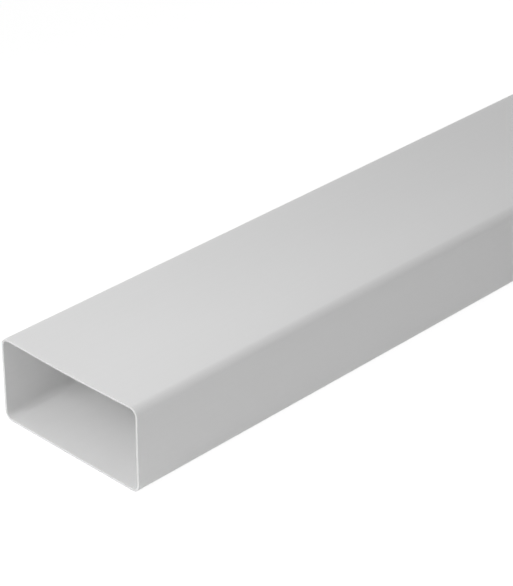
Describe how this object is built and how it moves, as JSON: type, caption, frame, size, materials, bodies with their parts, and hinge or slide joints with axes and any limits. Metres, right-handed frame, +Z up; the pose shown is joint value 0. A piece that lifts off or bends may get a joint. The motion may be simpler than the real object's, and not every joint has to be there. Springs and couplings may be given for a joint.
{
  "type": "flat channel duct",
  "caption": "Straight length of flat rectangular ventilation duct: a thin-walled plastic extrusion with rounded corners and open, square-cut ends that fittings slide onto.",
  "frame": {"origin": "middle of the underside, half-way along the duct and across its width", "axes": "+X along the duct's length, +Y across its width, +Z up through its height"},
  "size_m": [1, 0.11, 0.054],
  "materials": {
    "white_pvc": "satin"
  },
  "bodies": {
    "root": {"duct": "white_pvc"}
  },
  "joints": []
}
